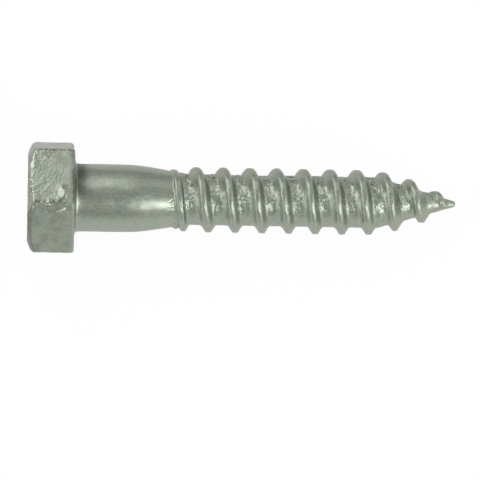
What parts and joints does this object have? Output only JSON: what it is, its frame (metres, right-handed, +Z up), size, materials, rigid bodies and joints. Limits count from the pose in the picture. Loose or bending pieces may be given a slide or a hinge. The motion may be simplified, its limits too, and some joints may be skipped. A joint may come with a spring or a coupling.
{
  "type": "hex head lag screw",
  "caption": "Hot-dip galvanised hex head lag screw with a plain shank and a coarse wood thread on a gimlet point.",
  "frame": {"origin": "centre of the head's bearing face, on the screw's axis", "axes": "+X level, from the head towards the point; +Z up as the screw lies; the screw's own axis droops 3.76 degrees below +X"},
  "size_m": [0.0582, 0.016, 0.0144],
  "materials": {
    "galvanised_steel": "hot-dip zinc, dull grey-green with a soft sheen, lumpy in the thread"
  },
  "bodies": {
    "root": {"lag_screw": "galvanised_steel"}
  },
  "joints": []
}
